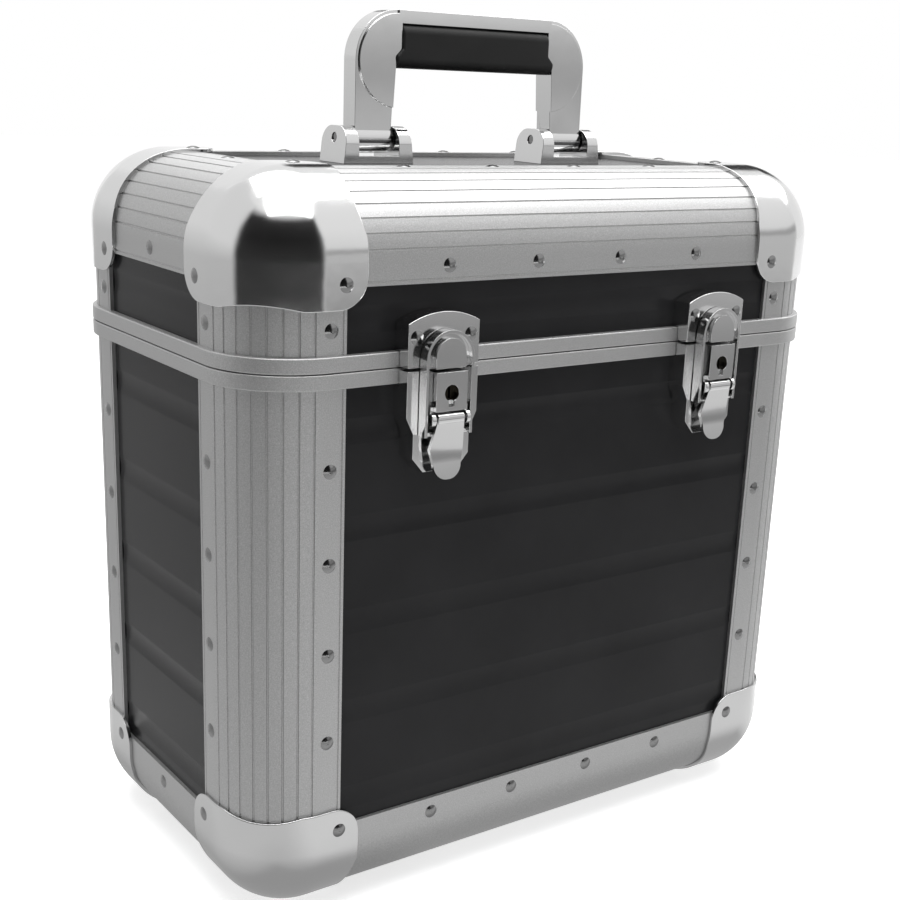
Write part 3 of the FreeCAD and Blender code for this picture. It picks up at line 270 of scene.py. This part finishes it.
def round_edges(piece, label, radius, angle):
    """Rounds the edges of a piece that turn by more than an angle."""
    bevel = piece.modifiers.new(label, "BEVEL")
    bevel.width = radius
    bevel.segments = EDGE_SEGMENTS
    bevel.limit_method = "ANGLE"
    bevel.angle_limit = angle


def softened(node, word, radius, whole_flats=True):
    """The form of a CAD piece with the edge radius, in millimetres, that its making leaves. The
    triangles of its flat sides are joined, and the shading is even over each flat side."""
    shell = bmesh.new()
    shell.from_mesh(frame["nodes"][node].data)
    bmesh.ops.remove_doubles(shell, verts=shell.verts, dist=MERGE_REACH)
    if whole_flats:
        bmesh.ops.dissolve_limit(shell, angle_limit=FLAT_ANGLE, verts=shell.verts,
                                 edges=shell.edges)
    piece = shaped(f"{node}_{word}", shell, smooth=True)
    piece.data.set_sharp_from_angle(angle=EDGE_ANGLE)
    round_edges(piece, "edge radius", radius * MM, EDGE_ANGLE)
    even = piece.modifiers.new("even shading", "WEIGHTED_NORMAL")
    even.keep_sharp = True
    dressed(piece, node)


for side in ("left", "right"):
    softened(f"latch_{side}_lid_plate", "pressing", radius=0.7)
    softened(f"latch_{side}_base_plate", "pressing", radius=0.7)
    softened(f"latch_{side}_hood", "pressing", radius=0.4)
    softened(f"latch_{side}_lever", "pressing", radius=0.4)
    softened(f"handle_{side}_bracket", "casting", radius=0.8)
softened("handle_frame", "casting", radius=0.7, whole_flats=False)
softened("handle_grip", "moulding", radius=1.0)
for half in ("base", "lid"):
    softened(f"{half}_rim", "extrusion", radius=0.8)
    for edge in ("front_left", "front_right", "back_left", "back_right"):
        softened(f"{half}_{edge}_ball_corner", "pressing", radius=0.5)


# Foam linings

FOAM_GAP, FOAM_SHEET, FOAM_CORNER = 0.2 * MM, 3.0 * MM, 28.8 * MM
FOAM_CORNER_SEGMENTS = 8
FOAM_GRID, FOAM_CUTS = 30 * MM, 3
FOAM_WAVE, FOAM_WAVES_PER_METRE = 0.6 * MM, 28
FOAM_ROLL, FOAM_ROLL_ANGLE = 1.2 * MM, math.radians(50)


def foam_tub(node, opening):
    """A glued foam tub with a rolled rim and the slight waves of sheet foam, a little inside the
    walls of its CAD solid. The opening is the side, up or down, that has no foam."""
    low, high = (Vector(corner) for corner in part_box(node))
    low += Vector((1, 1, 1)) * FOAM_GAP
    high -= Vector((1, 1, 1)) * FOAM_GAP
    middle = (low + high) / 2
    shell = bmesh.new()
    bmesh.ops.create_cube(shell, size=1)
    bmesh.ops.scale(shell, vec=high - low, verts=shell.verts)
    bmesh.ops.translate(shell, vec=middle, verts=shell.verts)
    mouth = [face for face in shell.faces if face.normal.z * opening > 0.5]
    bmesh.ops.delete(shell, geom=mouth, context="FACES_ONLY")
    creases = [edge for edge in shell.edges if not edge.is_boundary]
    bmesh.ops.bevel(shell, geom=creases, affect="EDGES", offset=FOAM_CORNER,
                    segments=FOAM_CORNER_SEGMENTS, profile=0.5, material=-1)
    for _ in range(FOAM_CUTS):
        long_edges = [edge for edge in shell.edges if edge.calc_length() > FOAM_GRID]
        bmesh.ops.subdivide_edges(shell, edges=long_edges, cuts=1, use_grid_fill=True)
    shell.normal_update()
    for vert in shell.verts:
        inward = -vert.normal if vert.normal.dot(vert.co - middle) > 0 else vert.normal
        swell = 0.5 + 0.5 * noise.noise(vert.co * FOAM_WAVES_PER_METRE)
        vert.co += inward * FOAM_WAVE * swell
    bmesh.ops.recalc_face_normals(shell, faces=shell.faces)
    piece = shaped(node + "_foam", shell, smooth=True)
    wall = piece.modifiers.new("foam sheet", "SOLIDIFY")
    wall.thickness = FOAM_SHEET
    wall.offset = -1
    round_edges(piece, "rolled rim", FOAM_ROLL, FOAM_ROLL_ANGLE)
    dressed(piece, node)


foam_tub("base_lining", opening=1)
foam_tub("lid_lining", opening=-1)


# Floor and backdrop

FLOOR_GLOW, FLOOR_REACH, FLOOR_DROP = 0.58, 8, 0.2 * MM
AMBIENT_LIGHT, BACKDROP_WHITE = 0.45, 1.0


def seen_directly(tree):
    """One for rays that show the backdrop itself, straight or through metal and glass, else
    zero."""
    rays = add(tree, "ShaderNodeLightPath").outputs
    either = add(tree, "ShaderNodeMath", {"operation": "MAXIMUM"},
                 {0: rays["Is Camera Ray"], 1: rays["Is Glossy Ray"]})
    return add(tree, "ShaderNodeMath", {"operation": "MAXIMUM"},
               {0: either, 1: rays["Is Transmission Ray"]})


def floor_finish():
    """Matt white studio paper. A glow that only shows the paper itself lifts it to the white of
    the backdrop, and the soft shadow of the case stays on it."""
    material, tree, shader = finish("white studio paper")
    lift = add(tree, "ShaderNodeMath", {"operation": "MULTIPLY", 1: FLOOR_GLOW},
               {0: seen_directly(tree)})
    paper = {"Base Color": linear("#F4F4F4"), "Roughness": 0.9, "Emission Color": linear("#FFFFFF")}
    fit(tree, shader, paper, {"Emission Strength": lift})
    return material


def studio_floor():
    """A wide sheet just under the case."""
    shell = bmesh.new()
    bmesh.ops.create_grid(shell, x_segments=1, y_segments=1, size=FLOOR_REACH)
    bmesh.ops.translate(shell, vec=(0, 0, -FLOOR_DROP), verts=shell.verts)
    sheet = shaped("studio_floor", shell)
    sheet.data.materials.append(floor_finish())


studio_floor()

world = bpy.data.worlds.new("studio")
bpy.context.scene.world = world
world.use_nodes = True
sky = world.node_tree
level = add(sky, "ShaderNodeMapRange", {"To Min": AMBIENT_LIGHT, "To Max": BACKDROP_WHITE},
            {"Value": seen_directly(sky)})
fit(sky, sky.nodes["Background"], {"Color": linear("#FFFFFF")}, {"Strength": level})


# Cards that the metal reflects

CARD_MEASURE, CARD_CORE_SHARE, CARD_STEPS = 3.0, 0.8, 24
# Floor tones by distance from the case: the darker grey next to the footprint is painted shade, the
# case's shadow as the metal sees the floor.
PALE_FLOOR_AND_PAINTED_SHADE = [(0, "#B0B0B0"), (0.006, "#D0D0D0"), (0.02, "#E8E8E8"), (0.1, "#D0D0D0")]


def sums(tree, steps, source):
    """The last node of a chain of vector sums, each with its fixed second operand, that starts at
    a source."""
    for operation, operand in steps:
        source = add(tree, "ShaderNodeVectorMath", {"operation": operation, 1: operand},
                     {0: source})
    return source


def card_finish(name, start, end, lies, stops):
    """A glow that fades out at a card's two ends. Its brightness follows the height above the
    floor, or the distance from the case's footprint where the card lies on the floor, as a share
    of the card measure. On a lying card the tones next to the footprint are painted shade: the
    case's shadow on the floor, as the metal reflects it."""
    material, tree, _ = finish(name)
    where = add(tree, "ShaderNodeTexCoord").outputs["Object"]
    # On a lying card the distance from the footprint sets the tone, so its stops paint the case's
    # shadow into the reflected floor.
    if lies:
        foot = (cad_box[1][0], cad_box[1][1], 0)
        beyond = [("ABSOLUTE", (0, 0, 0)), ("SUBTRACT", foot), ("MAXIMUM", (0, 0, 0))]
        measure = add(tree, "ShaderNodeVectorMath", {"operation": "LENGTH"},
                      {0: sums(tree, beyond, where)}).outputs["Value"]
    else:
        measure = add(tree, "ShaderNodeSeparateXYZ", links={"Vector": where}).outputs["Z"]
    share = add(tree, "ShaderNodeMapRange", {"From Max": CARD_MEASURE}, {"Value": measure})
    tone = add(tree, "ShaderNodeValToRGB", {"stops": stops}, {"Fac": share})
    middle, half = math.radians((start + end) / 2), math.radians((end - start) / 2)
    level_way = [("MULTIPLY", (1, 1, 0)), ("NORMALIZE", (0, 0, 0))]
    toward = (math.cos(middle), math.sin(middle), 0)
    cosine = add(tree, "ShaderNodeVectorMath", {"operation": "DOT_PRODUCT", 1: toward},
                 {0: sums(tree, level_way, where)}).outputs["Value"]
    fade = {"interpolation_type": "SMOOTHSTEP", "From Min": math.cos(half),
            "From Max": math.cos(half * CARD_CORE_SHARE)}
    solid = add(tree, "ShaderNodeMapRange", fade, {"Value": cosine})
    clear = add(tree, "ShaderNodeBsdfTransparent")
    glow = add(tree, "ShaderNodeEmission", links={"Color": tone})
    shown = add(tree, "ShaderNodeMixShader", links={0: solid, 1: clear, 2: glow})
    fit(tree, tree.nodes["Material Output"], links={"Surface": shown})
    return material


def studio_card(name, start, end, foot, head, stops):
    """A curved card round the case, between two compass angles in degrees from +X, with the radius
    and the height of its lower and its upper edge. It is there for the reflections in the metal
    alone: the camera doesn't see it and it casts no shadow."""
    shell = bmesh.new()
    way = Vector((math.cos(math.radians(start)), math.sin(math.radians(start)), 0))
    ends = [shell.verts.new(way * radius + Vector((0, 0, height)))
            for radius, height in (foot, head)]
    edge = shell.edges.new(ends)
    bmesh.ops.spin(shell, geom=ends + [edge], cent=(0, 0, 0), axis=(0, 0, 1),
                   angle=math.radians(end - start), steps=CARD_STEPS, use_merge=False)
    card = shaped(name, shell)
    card.data.materials.append(card_finish(name, start, end, foot[1] == head[1], stops))
    card.visible_camera = card.visible_diffuse = False
    card.visible_shadow = card.visible_transmission = False


studio_card("dark_room", start=166, end=296, foot=(1.5, 0.0), head=(1.5, 2.4),
            stops=[(0, "#3A3A3A"), (0.3, "#242424"), (0.6, "#2C2C2C"), (0.8, "#FFFFFF")])
studio_card("grey_card", start=282, end=345, foot=(0.9, 0.0), head=(0.9, 1.2),
            stops=[(0, "#B4B4B4"), (0.03, "#989898"), (0.05, "#989898"), (0.08, "#D0D0D0"),
                   (0.125, "#D0D0D0"), (0.137, "#ACACAC"), (0.15, "#B8B8B8"), (0.165, "#F4F4F4"),
                   (0.3, "#FFFFFF")])
studio_card("side_wall", start=98, end=184, foot=(1.4, 0.002), head=(1.4, 2.4),
            stops=[(0, "#BCBCBC"), (0.2, "#F0F0F0")])
studio_card("side_floor", start=85, end=235, foot=(0.02, 0.002), head=(1.4, 0.002),
            stops=PALE_FLOOR_AND_PAINTED_SHADE)
# The darker grey next to the case in these stops is painted shade of the case on the reflected
# floor.
studio_card("front_floor", start=205, end=355, foot=(0.02, 0.001), head=(0.9, 0.001),
            stops=[(0, "#C0C0C0"), (0.006, "#ECECEC"), (0.018, "#FFFFFF"), (0.1, "#E8E8E8")])
studio_card("back_floor", start=-20, end=100, foot=(0.02, 0.001), head=(1.4, 0.001),
            stops=PALE_FLOOR_AND_PAINTED_SHADE)
studio_card("back_flag", start=22, end=66, foot=(2.2, 0.9), head=(2.2, 1.6),
            stops=[(0, "#303030"), (1, "#404040")])


# Lights and camera

def soft_box(name, centre, aim, wide, high, watts):
    """An area light that looks at a point this high over the middle of the footprint."""
    lamp = bpy.data.lights.new(name, "AREA")
    lamp.shape = "RECTANGLE"
    lamp.size, lamp.size_y, lamp.energy = wide, high, watts
    holder = placed(name, lamp)
    holder.location = centre
    gaze = Vector((0, 0, aim)) - Vector(centre)
    holder.rotation_euler = gaze.to_track_quat("-Z", "Y").to_euler()


soft_box("front_light", centre=(-0.25, -0.62, 2.0), aim=0.2, wide=1.6, high=0.9, watts=22)
soft_box("right_light", centre=(1.25, -0.1, 1.5), aim=0.35, wide=1.0, high=1.0, watts=11)
soft_box("top_light", centre=(0.25, 0.4, 1.9), aim=0.3, wide=1.8, high=1.4, watts=27)

CAMERA_PLACE = Vector((-0.4602, -0.64305, 0.4121))
AZIMUTH, ELEVATION, ROLL = math.radians(-36.05), math.radians(17.03), math.radians(2.36)
FOCAL_PIXELS, FRAME_PIXELS, MIDDLE = 1409.6, 900, (467.6, 513.8)
SENSOR_MM, CLIP_NEAR, CLIP_FAR = 36, 0.01, 30

back = Vector((math.sin(AZIMUTH) * math.cos(ELEVATION),
               -math.cos(AZIMUTH) * math.cos(ELEVATION), math.sin(ELEVATION)))
level_right = Vector((math.cos(AZIMUTH), math.sin(AZIMUTH), 0))
level_up = back.cross(level_right)
right = level_right * math.cos(ROLL) + level_up * math.sin(ROLL)
up = level_up * math.cos(ROLL) - level_right * math.sin(ROLL)
lens = bpy.data.cameras.new("camera")
lens.sensor_width = SENSOR_MM
lens.lens = FOCAL_PIXELS / FRAME_PIXELS * SENSOR_MM
lens.shift_x = (FRAME_PIXELS / 2 - MIDDLE[0]) / FRAME_PIXELS
lens.shift_y = (MIDDLE[1] - FRAME_PIXELS / 2) / FRAME_PIXELS
lens.clip_start, lens.clip_end = CLIP_NEAR, CLIP_FAR
camera = placed("camera", lens)
camera.matrix_world = (Matrix.Translation(CAMERA_PLACE)
                       @ Matrix((right, up, back)).transposed().to_4x4())
bpy.context.scene.camera = camera
bpy.context.scene.view_settings.view_transform = "Standard"
